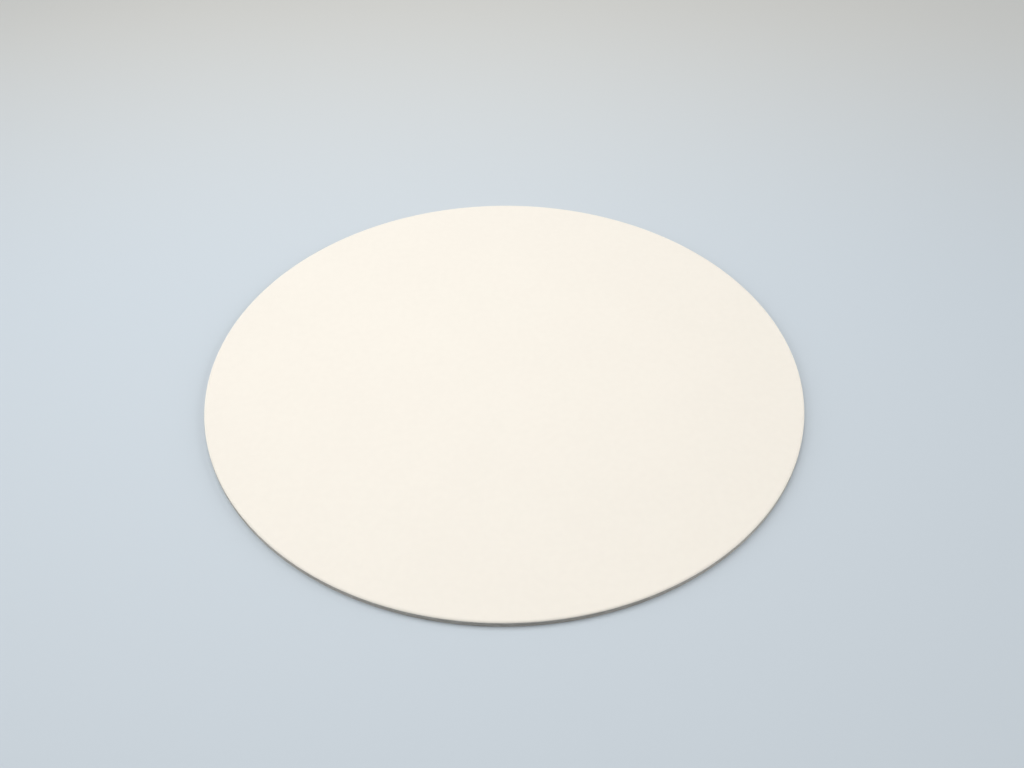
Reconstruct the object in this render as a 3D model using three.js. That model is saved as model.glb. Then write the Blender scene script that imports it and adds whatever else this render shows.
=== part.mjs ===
// A round cake board: one disc of stiff solid card, cut from a flat sheet by a steel cutting rule.
// It is a single piece, white face up, and it lies flat on its underside.
// Millimetres, +Z up. The origin is the centre of the underside.

import * as THREE from "three";

// The board. The diameter is taken across the widest part of the cut edge, just above the underside.
const boardDiameter = 203;
const boardThickness = 2;

// The cut edge. The rule presses the white face down before it cuts, so the face rolls over
// a shoulder that is wider than it is deep. It leaves the sheet cleanly below, so the lower corner
// is only just broken. The card springs back under the rule, so the edge leans out by cutLean
// on its way down from the shoulder.
const shoulderWidth = 0.9;
const shoulderDepth = 0.4;
const lowerCornerRadius = 0.12;
const cutLean = 0.08;

// Steps round the disc, and along each of the two rounded corners.
const turnSteps = 180;
const shoulderSteps = 8;
const lowerCornerSteps = 3;

const cardColour = 0xf6f0e6;

// Half of the board's section, from the centre of the underside out and round to the centre of the face.
function boardSection() {
  const edgeBelow = boardDiameter / 2;
  const edgeAbove = edgeBelow - cutLean;
  const lowerCorner = new THREE.EllipseCurve(
    edgeBelow - lowerCornerRadius,
    lowerCornerRadius,
    lowerCornerRadius,
    lowerCornerRadius,
    -Math.PI / 2,
    0,
  );
  const shoulder = new THREE.EllipseCurve(
    edgeAbove - shoulderWidth,
    boardThickness - shoulderDepth,
    shoulderWidth,
    shoulderDepth,
    0,
    Math.PI / 2,
  );
  return [
    new THREE.Vector2(0, 0),
    ...lowerCorner.getPoints(lowerCornerSteps),
    ...shoulder.getPoints(shoulderSteps),
    new THREE.Vector2(0, boardThickness),
  ];
}

// The section turned once round the board's axis. The lathe turns about Y, so the disc is then laid flat.
function cakeBoard() {
  const disc = new THREE.LatheGeometry(boardSection(), turnSteps);
  disc.rotateX(Math.PI / 2);
  const card = new THREE.MeshStandardMaterial({ color: cardColour, roughness: 0.5, metalness: 0 });
  const board = new THREE.Mesh(disc, card);
  board.name = "cake_board";
  return board;
}

const part = new THREE.Group();
part.add(cakeBoard());

export default part;
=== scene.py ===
"""A round white cake board lying flat on a pale surface.

The board is one disc of stiff pulp card with a smooth white paper face, cut out by a steel rule.
Metres throughout. The origin is the centre of the underside, and +Z is up through the thickness.
"""

import math

import bpy
import numpy as np
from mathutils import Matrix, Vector


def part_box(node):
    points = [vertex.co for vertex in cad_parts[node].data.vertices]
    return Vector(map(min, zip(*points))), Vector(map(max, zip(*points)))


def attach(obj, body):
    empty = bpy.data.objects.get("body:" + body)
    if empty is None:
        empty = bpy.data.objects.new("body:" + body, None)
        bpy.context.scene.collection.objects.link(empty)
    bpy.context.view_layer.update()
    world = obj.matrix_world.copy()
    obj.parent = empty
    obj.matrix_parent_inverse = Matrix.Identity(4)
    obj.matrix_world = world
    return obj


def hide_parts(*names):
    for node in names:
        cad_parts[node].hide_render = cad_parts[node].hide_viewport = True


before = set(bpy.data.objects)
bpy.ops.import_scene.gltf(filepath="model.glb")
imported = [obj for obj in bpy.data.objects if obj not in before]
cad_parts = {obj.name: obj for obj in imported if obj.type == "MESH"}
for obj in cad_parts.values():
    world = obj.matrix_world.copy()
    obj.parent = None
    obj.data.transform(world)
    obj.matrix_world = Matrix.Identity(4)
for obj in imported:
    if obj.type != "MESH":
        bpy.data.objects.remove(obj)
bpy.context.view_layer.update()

MM = 0.001

# The board's outside sizes are read off the CAD part in model.glb, and its cut edge has the sizes of the
# solid's.
board_low, board_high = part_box("cake_board")
THICKNESS = board_high.z - board_low.z
EDGE_OUT = (board_high.x - board_low.x) / 2
CUT_LEAN = 0.08 * MM
SHOULDER_WIDTH = 0.9 * MM
SHOULDER_DEPTH = 0.4 * MM
LOWER_CORNER = 0.12 * MM

# How finely the skin is drawn: steps round the disc, and rings across each stretch of the section.
TURN_STEPS = 900
UNDERSIDE_RINGS = 8
CORNER_RINGS = 5
WALL_RINGS = 46
SHOULDER_RINGS = 22
FACE_RINGS = 20

# The grain of the cut edge, all of it cut into the card and never proud of it.
GRAIN_SEED = 8
PLIES = 9
PLY_GROOVE = 0.030 * MM
PLY_GROOVE_WIDTH = 0.05 * MM
PLY_WANDER = 0.12 * MM
GROOVE_MEAN, GROOVE_SPREAD = 0.5, 1.6
WANDER_SMOOTHING = 40
GROOVE_SMOOTHING = 12
RULE_MARK = 0.018 * MM
RULE_MARK_RARITY = 5
FIBRE = 0.016 * MM

# The face is a hair lower here and there, in shallow waves, and flat again at the shoulder.
FACE_WAVES = 24
FACE_WAVE_DEPTH = 0.03 * MM
FACE_WAVE_SHORTEST = 14 * MM
FACE_WAVE_LONGEST = 60 * MM
FACE_WAVE_FADE = 4 * MM

# The white facing paper shows in the cut edge as a thin line above and below the pulp.
LINER = 0.14 * MM
LINER_WANDER = 0.14 * MM

# The flat map of the skin, in shares of its width. The face and the underside are laid out as discs,
# each a centre and a radius, and the cut edge as strips, one above the other along the bottom.
MAP_NAME = "OFBake"
FACE_DISC = (0.343, 0.657, 0.340)
UNDERSIDE_DISC = (0.807, 0.373, 0.190)
EDGE_STRIPS = 6
STRIP_HEIGHT = 0.024
STRIP_PITCH = 0.030
STRIP_END = 0.002

# The materials' slots on the board.
FACE, EDGE, UNDERSIDE = 0, 1, 2

# The patterns of the three materials, in spots to the metre, and the depths of their bumps.
FACE_CLOUDS, FACE_SPECKLE, FACE_GRAIN, FACE_TOOTH = 28, 420, 1500, 260
FACE_CLOUD_SHARE, FACE_SPECKLE_SHARE = 0.4, 0.6
FACE_ROUGHNESS = (0.46, 0.54)
FACE_GLOSS = 0.3
FACE_TOOTH_DEPTH, FACE_GRAIN_DEPTH = 0.010 * MM, 0.005 * MM
PULP_STREAKS, PULP_FIBRES, PAPER_LINE = 260, 1400, 500
STREAK_STRETCH, FIBRE_STRETCH = (1, 1, 22), (1, 1, 3)
FLECK_SHARE = 0.6
EDGE_ROUGHNESS = 0.92
EDGE_DEPTH = 0.03 * MM
UNDERSIDE_CLOUDS, UNDERSIDE_GRAIN = 45, 1200
UNDERSIDE_ROUGHNESS = 0.78
UNDERSIDE_DEPTH = 0.012 * MM
FLOOR_ROUGHNESS, FLOOR_GLOSS = 0.7, 0.2

# Colours, as linear red, green and blue.
FACE_LIGHT = (0.941, 0.889, 0.800, 1)
FACE_DARK = (0.928, 0.876, 0.788, 1)
PULP_LIGHT = (0.56, 0.53, 0.485, 1)
PULP_DARK = (0.36, 0.337, 0.305, 1)
LINER_WHITE = (0.84, 0.81, 0.75, 1)
UNDERSIDE_LIGHT = (0.84, 0.80, 0.73, 1)
UNDERSIDE_DARK = (0.81, 0.77, 0.70, 1)
FLOOR_NEAR = (0.620, 0.685, 0.740, 1)
# Painted light: the floor's far colour is the warmer, greyer light that falls behind the board.
FLOOR_FAR_PAINTED_LIGHT = (0.700, 0.700, 0.670, 1)
BACKDROP = (0.50, 0.535, 0.56, 1)
AMBIENT = (1.0, 0.995, 0.99, 1)

# The floor: a wide disc a hair below the board. Its far colour, which is painted light (the warmer light
# behind the board), comes in between two distances behind the board, and it fades into the backdrop
# between two distances from the board's middle.
FLOOR_RADIUS = 3.0
FLOOR_SIDES = 96
FLOOR_DROP = 0.02 * MM
PAINTED_LIGHT_FROM, PAINTED_LIGHT_TO = 0.02, 0.36
FADE_FROM, FADE_TO = 0.34, 0.72

# The light: some from all round, one soft lamp over the board and a little behind and to the left of it,
# and a wide one far off on each side. The face is in full light. The cut edge is in half light at the
# sides, and in shade where it faces the camera. The side lamps stay out of reflections, so that the
# smooth face doesn't flare when it is seen from low down on either side.
AMBIENT_STRENGTH = 0.19
LAMPS = {
    "near_lamp": {"place": (-0.07, 0.08, 0.45), "size": 0.45, "power": 1.35, "reflected": True},
    "left_lamp": {"place": (-1.80, 0.10, 0.75), "size": 1.4, "power": 20.4, "reflected": False},
    "right_lamp": {"place": (1.80, 0.10, 0.75), "size": 1.4, "power": 21.0, "reflected": False},
}

# The camera stands in front of the board and looks down on it at about 43 degrees. The picture's
# centre falls on the board a little in front of its middle and to the right of it.
CAMERA_PLACE = (0, -0.2538, 0.2367)
CAMERA_TARGET = (0.0025, -0.0052, 0)
LENS = 35.16
SENSOR = 36
CLIP_START, CLIP_END = 0.01, 20


# The board


def section():
    """Half of the board's section, as one row of points (distance from the axis, height) for each
    stretch: underside, lower corner, wall, shoulder and face, in that order round the edge.

    The underside and the face are straight, with rings that crowd towards the edge. The lower corner
    is a quarter circle, the wall a straight line that leans in by CUT_LEAN on its way up, and the
    shoulder a quarter ellipse, SHOULDER_WIDTH wide and SHOULDER_DEPTH deep. Each stretch starts one
    step after the end of the one before. The centres of the underside and the face aren't in it.
    """
    wall_foot = np.array([EDGE_OUT, LOWER_CORNER])
    wall_head = np.array([EDGE_OUT - CUT_LEAN, THICKNESS - SHOULDER_DEPTH])
    shoulder_size = np.array([SHOULDER_WIDTH, SHOULDER_DEPTH])
    quarter = math.pi / 2

    outward = np.sin(np.linspace(0, quarter, UNDERSIDE_RINGS + 1)[1:])
    underside = np.outer(outward, [EDGE_OUT - LOWER_CORNER, 0])

    turn = np.linspace(-quarter, 0, CORNER_RINGS + 1)[1:]
    corner = wall_foot + np.stack([np.cos(turn) - 1, np.sin(turn)], 1) * LOWER_CORNER

    rise = np.linspace(0, 1, WALL_RINGS + 1)[1:]
    wall = wall_foot + np.outer(rise, wall_head - wall_foot)

    turn = np.linspace(0, quarter, SHOULDER_RINGS + 1)[1:]
    shoulder = wall_head + np.stack([np.cos(turn) - 1, np.sin(turn)], 1) * shoulder_size

    inward = np.sin(np.linspace(quarter, 0, FACE_RINGS + 1)[1:-1])
    face = np.stack([inward * shoulder[-1, 0], np.full(len(inward), THICKNESS)], 1)
    return [underside, corner, wall, shoulder, face]


def smoothed(values, times):
    """The mean of each value and its two neighbours round the disc, taken several times over."""
    for _ in range(times):
        values = (np.roll(values, 1, axis=-1) + values + np.roll(values, -1, axis=-1)) / 3
    return values


def cut_relief(height, dice):
    """How far the cut edge lies inside its plain wall, for a row of heights by all the turn steps.

    Three things are added up. Between each two plies runs a groove: a bell curve across the height,
    whose middle wanders up and down and whose depth comes and goes round the disc. The steel rule
    leaves upright marks, each the same depth from top to bottom. Loose fibres give every point a
    small depth of its own. All of it fades out towards the paper above and below.
    """
    up = height[:, None]
    relief = np.zeros((len(height), TURN_STEPS))
    for ply in range(1, PLIES):
        level = THICKNESS * ply / PLIES
        wander = PLY_WANDER * smoothed(dice.normal(0, 1, TURN_STEPS), WANDER_SMOOTHING)
        strength = dice.normal(GROOVE_MEAN, GROOVE_SPREAD, TURN_STEPS)
        depth = PLY_GROOVE * np.clip(smoothed(strength, GROOVE_SMOOTHING), 0, 1)
        relief += depth * np.exp(-(((up - level - wander) / PLY_GROOVE_WIDTH) ** 2))
    relief += RULE_MARK * smoothed(dice.random(TURN_STEPS) ** RULE_MARK_RARITY, 1)
    relief += FIBRE * smoothed(dice.random(relief.shape), 1)
    above_paper = np.clip((up - LINER) / LINER, 0, 1)
    below_paper = np.clip((THICKNESS - SHOULDER_DEPTH - up) / LINER, 0, 1)
    return relief * above_paper * below_paper


def face_relief(x, y, dice):
    """How far the face lies below its plain level: many plane waves of random length, heading and
    phase, added up, shifted and scaled to lie between nothing and FACE_WAVE_DEPTH, and faded out
    over the last FACE_WAVE_FADE before the shoulder."""
    total = np.zeros_like(x)
    for _ in range(FACE_WAVES):
        length = dice.uniform(FACE_WAVE_SHORTEST, FACE_WAVE_LONGEST)
        heading, phase = dice.uniform(0, 2 * math.pi, 2)
        along = x * math.cos(heading) + y * math.sin(heading)
        total += length * np.sin(2 * math.pi * along / length + phase)
    total = (total - total.min()) / (total.max() - total.min())
    flat_from = EDGE_OUT - SHOULDER_WIDTH
    fade = np.clip((flat_from - np.hypot(x, y)) / FACE_WAVE_FADE, 0, 1)
    return total * fade * FACE_WAVE_DEPTH


def mesh_of_rings(name, points, centre_below, centre_above, slot_of_band):
    """A closed mesh from points[ring, step]. Each ring is joined to the next by one band of quads,
    and the first and last rings are closed by a fan of triangles to the two centre points. The rings
    run from the underside round the edge to the face, which makes every face point outwards."""
    rings, steps = points.shape[:2]
    here = np.arange(steps)
    beyond = np.roll(here, -1)
    start = np.arange(rings - 1)[:, None] * steps
    quads = np.stack([start + here, start + beyond, start + steps + beyond, start + steps + here], 2)
    below, above = rings * steps, rings * steps + 1
    last = (rings - 1) * steps
    fan_below = np.stack([np.full(steps, below), beyond, here], 1)
    fan_above = np.stack([np.full(steps, above), last + here, last + beyond], 1)

    vertices = np.concatenate([points.reshape(-1, 3), [centre_below, centre_above]])
    corners = np.concatenate([quads.ravel(), fan_below.ravel(), fan_above.ravel()])
    sides = np.repeat([4, 3], [(rings - 1) * steps, 2 * steps])
    slots = np.repeat([*slot_of_band, slot_of_band[0], slot_of_band[-1]], steps)

    mesh = bpy.data.meshes.new(name)
    mesh.vertices.add(len(vertices))
    mesh.vertices.foreach_set("co", vertices.ravel())
    mesh.loops.add(len(corners))
    mesh.loops.foreach_set("vertex_index", corners)
    mesh.polygons.add(len(sides))
    mesh.polygons.foreach_set("loop_start", np.cumsum(sides) - sides)
    mesh.polygons.foreach_set("material_index", slots)
    mesh.polygons.foreach_set("use_smooth", np.ones(len(sides), bool))
    mesh.update(calc_edges=True)
    mesh.validate()
    return mesh


def lay_skin_flat(mesh, profile, slot_of_band):
    """Gives the mesh its flat map, with each corner in the order of mesh_of_rings.

    Lengths are measured along the section, from the centre of the underside to that of the face. On
    the face and the underside, a corner's distance from its disc's middle is its length from that
    centre, and its angle is its turn, turned round on the underside, which is seen from below. The
    cut edge runs along its strips with the turn and up them with the length.
    """
    way = np.linalg.norm(np.diff(profile, axis=0), axis=1)
    along = np.concatenate([[0], np.cumsum(way)]) + profile[0, 0]
    whole = along[-1] + profile[-1, 0]
    edge_bands = np.flatnonzero(slot_of_band == EDGE)
    foot, head = along[edge_bands[0]], along[edge_bands[-1] + 1]

    def corner_places(slot, length, step):
        turn = 2 * math.pi * step / TURN_STEPS
        if slot == EDGE:
            share = step[..., :1] * EDGE_STRIPS // TURN_STEPS
            across = step * EDGE_STRIPS / TURN_STEPS - share
            up = (length - foot) / (head - foot)
            return np.stack(np.broadcast_arrays(
                STRIP_END + (1 - 2 * STRIP_END) * across,
                share * STRIP_PITCH + (STRIP_PITCH - STRIP_HEIGHT) / 2 + up * STRIP_HEIGHT,
            ), -1)
        x, y, radius = FACE_DISC if slot == FACE else UNDERSIDE_DISC
        reach = radius * ((whole - length) / (whole - head) if slot == FACE else length / foot)
        sense = 1 if slot == FACE else -1
        return np.stack([x + reach * np.cos(turn), y + sense * reach * np.sin(turn)], -1)

    step = np.arange(TURN_STEPS)[:, None]
    places = []
    for band, slot in enumerate(slot_of_band):
        length = along[[band, band, band + 1, band + 1]]
        places.append(corner_places(slot, length, step + [0, 1, 1, 0]))
    places.append(corner_places(UNDERSIDE, np.array([0, along[0], along[0]]), step + [0, 1, 0]))
    places.append(corner_places(FACE, np.array([whole, along[-1], along[-1]]), step + [0, 0, 1]))
    flat = mesh.uv_layers.new(name=MAP_NAME)
    flat.uv.foreach_set("vector", np.concatenate([p.reshape(-1, 2) for p in places]).ravel())


def cake_board():
    """The section turned once round the axis: x and y are the distance from the axis times the cosine
    and sine of the turn. The wall is then cut back by cut_relief and the face lowered by face_relief."""
    dice = np.random.default_rng(GRAIN_SEED)
    underside, corner, wall, shoulder, face = section()
    profile = np.concatenate([underside, corner, wall, shoulder, face])
    out = np.repeat(profile[:, :1], TURN_STEPS, axis=1)
    up = np.repeat(profile[:, 1:], TURN_STEPS, axis=1)

    wall_from = len(underside) + len(corner)
    shoulder_from = wall_from + len(wall)
    out[wall_from:shoulder_from] -= cut_relief(wall[:, 1], dice)

    turn = np.linspace(0, 2 * math.pi, TURN_STEPS, endpoint=False)
    x = out * np.cos(turn)
    y = out * np.sin(turn)
    up[shoulder_from:] -= face_relief(x[shoulder_from:], y[shoulder_from:], dice)

    slot_of_band = np.full(len(profile) - 1, FACE)
    slot_of_band[:shoulder_from - 1] = EDGE
    slot_of_band[:len(underside) - 1] = UNDERSIDE
    centre_above = (0, 0, up[-1].mean())
    points = np.stack([x, y, up], 2)
    mesh = mesh_of_rings("cake_board_card", points, (0, 0, 0), centre_above, slot_of_band)
    lay_skin_flat(mesh, profile, slot_of_band)
    for material in (white_face(), cut_edge(), plain_underside()):
        mesh.materials.append(material)
    board = bpy.data.objects.new("cake_board_card", mesh)
    bpy.context.collection.objects.link(board)
    return board


# Materials


def new_material(name):
    """A material with one Principled shader. Returns it, its node tree and that shader."""
    material = bpy.data.materials.new(name)
    material.use_nodes = True
    tree = material.node_tree
    return material, tree, tree.nodes["Principled BSDF"]


def object_place(tree):
    return tree.nodes.new("ShaderNodeTexCoord").outputs["Object"]


def noise(tree, per_metre, detail=3.0, stretch=(1, 1, 1)):
    """A soft random pattern on the object's own place, so many spots to the metre along each axis."""
    mapping = tree.nodes.new("ShaderNodeMapping")
    mapping.inputs["Scale"].default_value = [per_metre * s for s in stretch]
    tree.links.new(object_place(tree), mapping.inputs["Vector"])
    texture = tree.nodes.new("ShaderNodeTexNoise")
    texture.inputs["Scale"].default_value = 1
    texture.inputs["Detail"].default_value = detail
    tree.links.new(mapping.outputs["Vector"], texture.inputs["Vector"])
    return texture.outputs["Fac"]


def ranged(tree, value, from_low, from_high, to_low=0.0, to_high=1.0):
    """The value eased from one range into another, and held at its ends."""
    node = tree.nodes.new("ShaderNodeMapRange")
    node.interpolation_type = "SMOOTHSTEP"
    for socket, number in zip(node.inputs[1:5], (from_low, from_high, to_low, to_high)):
        socket.default_value = number
    tree.links.new(value, node.inputs["Value"])
    return node.outputs["Result"]


def maths(tree, operation, first, second):
    """One sum of two values, each a socket or a number."""
    node = tree.nodes.new("ShaderNodeMath")
    node.operation = operation
    for socket, value in zip(node.inputs, (first, second)):
        if isinstance(value, (int, float)):
            socket.default_value = value
        else:
            tree.links.new(value, socket)
    return node.outputs["Value"]


def mixed(tree, factor, first, second):
    """One colour turning into another as the factor goes from 0 to 1."""
    node = tree.nodes.new("ShaderNodeMix")
    node.data_type = "RGBA"
    tree.links.new(factor, node.inputs["Factor"])
    for name, colour in (("A", first), ("B", second)):
        socket = next(s for s in node.inputs if s.name == name and s.type == "RGBA")
        if isinstance(colour, tuple):
            socket.default_value = colour
        else:
            tree.links.new(colour, socket)
    return next(s for s in node.outputs if s.type == "RGBA")


def bumped(tree, shader, layers):
    """Chains one Bump for each (pattern, depth in metres) into the shader's normal."""
    normal = None
    for pattern, depth in layers:
        bump = tree.nodes.new("ShaderNodeBump")
        bump.inputs["Strength"].default_value = 1
        bump.inputs["Distance"].default_value = depth
        tree.links.new(pattern, bump.inputs["Height"])
        if normal is not None:
            tree.links.new(normal, bump.inputs["Normal"])
        normal = bump.outputs["Normal"]
    tree.links.new(normal, shader.inputs["Normal"])


def white_face():
    """Smooth white facing paper: warm white, clouded so faintly that it reads as plain from a step
    away, finely speckled where the fibres lie closer, and with a fine grain in its satin sheen."""
    material, tree, shader = new_material("white_face")
    clouds = noise(tree, FACE_CLOUDS, detail=2)
    speckle = noise(tree, FACE_SPECKLE, detail=4)
    grain = noise(tree, FACE_GRAIN, detail=2)
    cloud_part = maths(tree, "MULTIPLY", clouds, FACE_CLOUD_SHARE)
    speckle_part = maths(tree, "MULTIPLY", speckle, FACE_SPECKLE_SHARE)
    tone = maths(tree, "ADD", cloud_part, speckle_part)
    colour = mixed(tree, ranged(tree, tone, 0.35, 0.65), FACE_DARK, FACE_LIGHT)
    tree.links.new(colour, shader.inputs["Base Color"])
    tree.links.new(ranged(tree, grain, 0.3, 0.7, *FACE_ROUGHNESS), shader.inputs["Roughness"])
    shader.inputs["Specular IOR Level"].default_value = FACE_GLOSS
    bumped(tree, shader, [(noise(tree, FACE_TOOTH), FACE_TOOTH_DEPTH), (grain, FACE_GRAIN_DEPTH)])
    return material


def cut_edge():
    """Grey pulp card in section: flat streaks along the plies, pale and dark fibres, a dull broken
    surface, and the white paper as an uneven line along the top and the bottom."""
    material, tree, shader = new_material("cut_edge")
    streaks = noise(tree, PULP_STREAKS, detail=4, stretch=STREAK_STRETCH)
    fibres = noise(tree, PULP_FIBRES, detail=3, stretch=FIBRE_STRETCH)
    pulp = mixed(tree, ranged(tree, streaks, 0.32, 0.68), PULP_DARK, PULP_LIGHT)
    flecked = mixed(tree, ranged(tree, fibres, 0.55, 0.75, 0, FLECK_SHARE), pulp, LINER_WHITE)

    height = tree.nodes.new("ShaderNodeSeparateXYZ")
    tree.links.new(object_place(tree), height.inputs["Vector"])
    uneven = maths(tree, "SUBTRACT", noise(tree, PAPER_LINE), 0.5)
    wander = maths(tree, "MULTIPLY", uneven, LINER_WANDER)
    level = maths(tree, "ADD", height.outputs["Z"], wander)
    soft = LINER / 4
    paper_above = THICKNESS - SHOULDER_DEPTH - LINER / 2
    above = ranged(tree, level, paper_above - soft, paper_above + soft)
    below = ranged(tree, level, LINER - soft, LINER + soft, 1, 0)
    paper = maths(tree, "MAXIMUM", above, below)
    tree.links.new(mixed(tree, paper, flecked, LINER_WHITE), shader.inputs["Base Color"])
    shader.inputs["Roughness"].default_value = EDGE_ROUGHNESS
    bumped(tree, shader, [(streaks, EDGE_DEPTH), (fibres, EDGE_DEPTH)])
    return material


def plain_underside():
    """The same paper without its polish: duller, a little greyer, and more clouded."""
    material, tree, shader = new_material("plain_underside")
    clouds = noise(tree, UNDERSIDE_CLOUDS, detail=6)
    grain = noise(tree, UNDERSIDE_GRAIN, detail=3)
    colour = mixed(tree, ranged(tree, clouds, 0.3, 0.7), UNDERSIDE_DARK, UNDERSIDE_LIGHT)
    tree.links.new(colour, shader.inputs["Base Color"])
    shader.inputs["Roughness"].default_value = UNDERSIDE_ROUGHNESS
    bumped(tree, shader, [(grain, UNDERSIDE_DEPTH)])
    return material


# Surroundings


def seen_directly(tree):
    """1 for what the camera sees, by itself or in a reflection or through glass, and 0 for the light
    that falls on things."""
    path = tree.nodes.new("ShaderNodeLightPath").outputs
    direct = maths(tree, "MAXIMUM", path["Is Camera Ray"], path["Is Glossy Ray"])
    return maths(tree, "MAXIMUM", direct, path["Is Transmission Ray"])


def pale_floor():
    """A flat disc just under the board, in a plain pale blue-grey that turns greyer and warmer further
    back.
    That turn is painted light: the warmer light behind the board. Far out it fades into the backdrop's
    colour, so that no horizon shows from low down."""
    turn = np.linspace(0, 2 * math.pi, FLOOR_SIDES, endpoint=False)
    rim = np.stack([np.cos(turn), np.sin(turn), np.full(FLOOR_SIDES, -FLOOR_DROP / FLOOR_RADIUS)], 1)
    mesh = bpy.data.meshes.new("floor")
    mesh.from_pydata((rim * FLOOR_RADIUS).tolist(), [], [list(range(FLOOR_SIDES))])
    floor = bpy.data.objects.new("floor", mesh)
    bpy.context.collection.objects.link(floor)

    material, tree, shader = new_material("pale_floor")
    place = object_place(tree)
    split = tree.nodes.new("ShaderNodeSeparateXYZ")
    tree.links.new(place, split.inputs["Vector"])
    # Painted light: behind the board the floor turns to the warmer colour of the light there.
    away = ranged(tree, split.outputs["Y"], PAINTED_LIGHT_FROM, PAINTED_LIGHT_TO)
    tree.links.new(mixed(tree, away, FLOOR_NEAR, FLOOR_FAR_PAINTED_LIGHT), shader.inputs["Base Color"])
    shader.inputs["Roughness"].default_value = FLOOR_ROUGHNESS
    shader.inputs["Specular IOR Level"].default_value = FLOOR_GLOSS

    distance = tree.nodes.new("ShaderNodeVectorMath")
    distance.operation = "LENGTH"
    tree.links.new(place, distance.inputs[0])
    faded = ranged(tree, distance.outputs["Value"], FADE_FROM, FADE_TO)
    backdrop = tree.nodes.new("ShaderNodeEmission")
    backdrop.inputs["Color"].default_value = BACKDROP
    blend = tree.nodes.new("ShaderNodeMixShader")
    tree.links.new(maths(tree, "MULTIPLY", faded, seen_directly(tree)), blend.inputs["Fac"])
    tree.links.new(shader.outputs["BSDF"], blend.inputs[1])
    tree.links.new(backdrop.outputs["Emission"], blend.inputs[2])
    tree.links.new(blend.outputs["Shader"], tree.nodes["Material Output"].inputs["Surface"])
    mesh.materials.append(material)
    return floor


def soft_world():
    """Even light from all round, with the backdrop's colour where the camera looks past the floor."""
    world = bpy.data.worlds.new("studio")
    bpy.context.scene.world = world
    world.use_nodes = True
    tree = world.node_tree
    light = tree.nodes["Background"]
    light.inputs["Color"].default_value = AMBIENT
    light.inputs["Strength"].default_value = AMBIENT_STRENGTH
    backdrop = tree.nodes.new("ShaderNodeBackground")
    backdrop.inputs["Color"].default_value = BACKDROP
    blend = tree.nodes.new("ShaderNodeMixShader")
    tree.links.new(seen_directly(tree), blend.inputs["Fac"])
    tree.links.new(light.outputs["Background"], blend.inputs[1])
    tree.links.new(backdrop.outputs["Background"], blend.inputs[2])
    tree.links.new(blend.outputs["Shader"], tree.nodes["World Output"].inputs["Surface"])


def aimed(obj, place, target):
    """Puts a lamp or a camera at a place, looking at a target with its upper side up."""
    obj.location = place
    obj.rotation_euler = (Vector(target) - Vector(place)).to_track_quat("-Z", "Y").to_euler()
    bpy.context.collection.objects.link(obj)


def soft_lamps():
    for name, lamp in LAMPS.items():
        data = bpy.data.lights.new(name, "AREA")
        data.shape = "SQUARE"
        data.size = lamp["size"]
        data.energy = lamp["power"]
        light = bpy.data.objects.new(name, data)
        light.visible_glossy = lamp["reflected"]
        aimed(light, lamp["place"], (0, 0, 0))


def front_camera():
    data = bpy.data.cameras.new("camera")
    data.lens = LENS
    data.sensor_width = SENSOR
    data.clip_start = CLIP_START
    data.clip_end = CLIP_END
    camera = bpy.data.objects.new("camera", data)
    aimed(camera, CAMERA_PLACE, CAMERA_TARGET)
    bpy.context.scene.camera = camera


board = cake_board()
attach(board, "root")
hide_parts("cake_board")

pale_floor()
soft_world()
soft_lamps()
front_camera()
bpy.context.scene.view_settings.view_transform = "Standard"
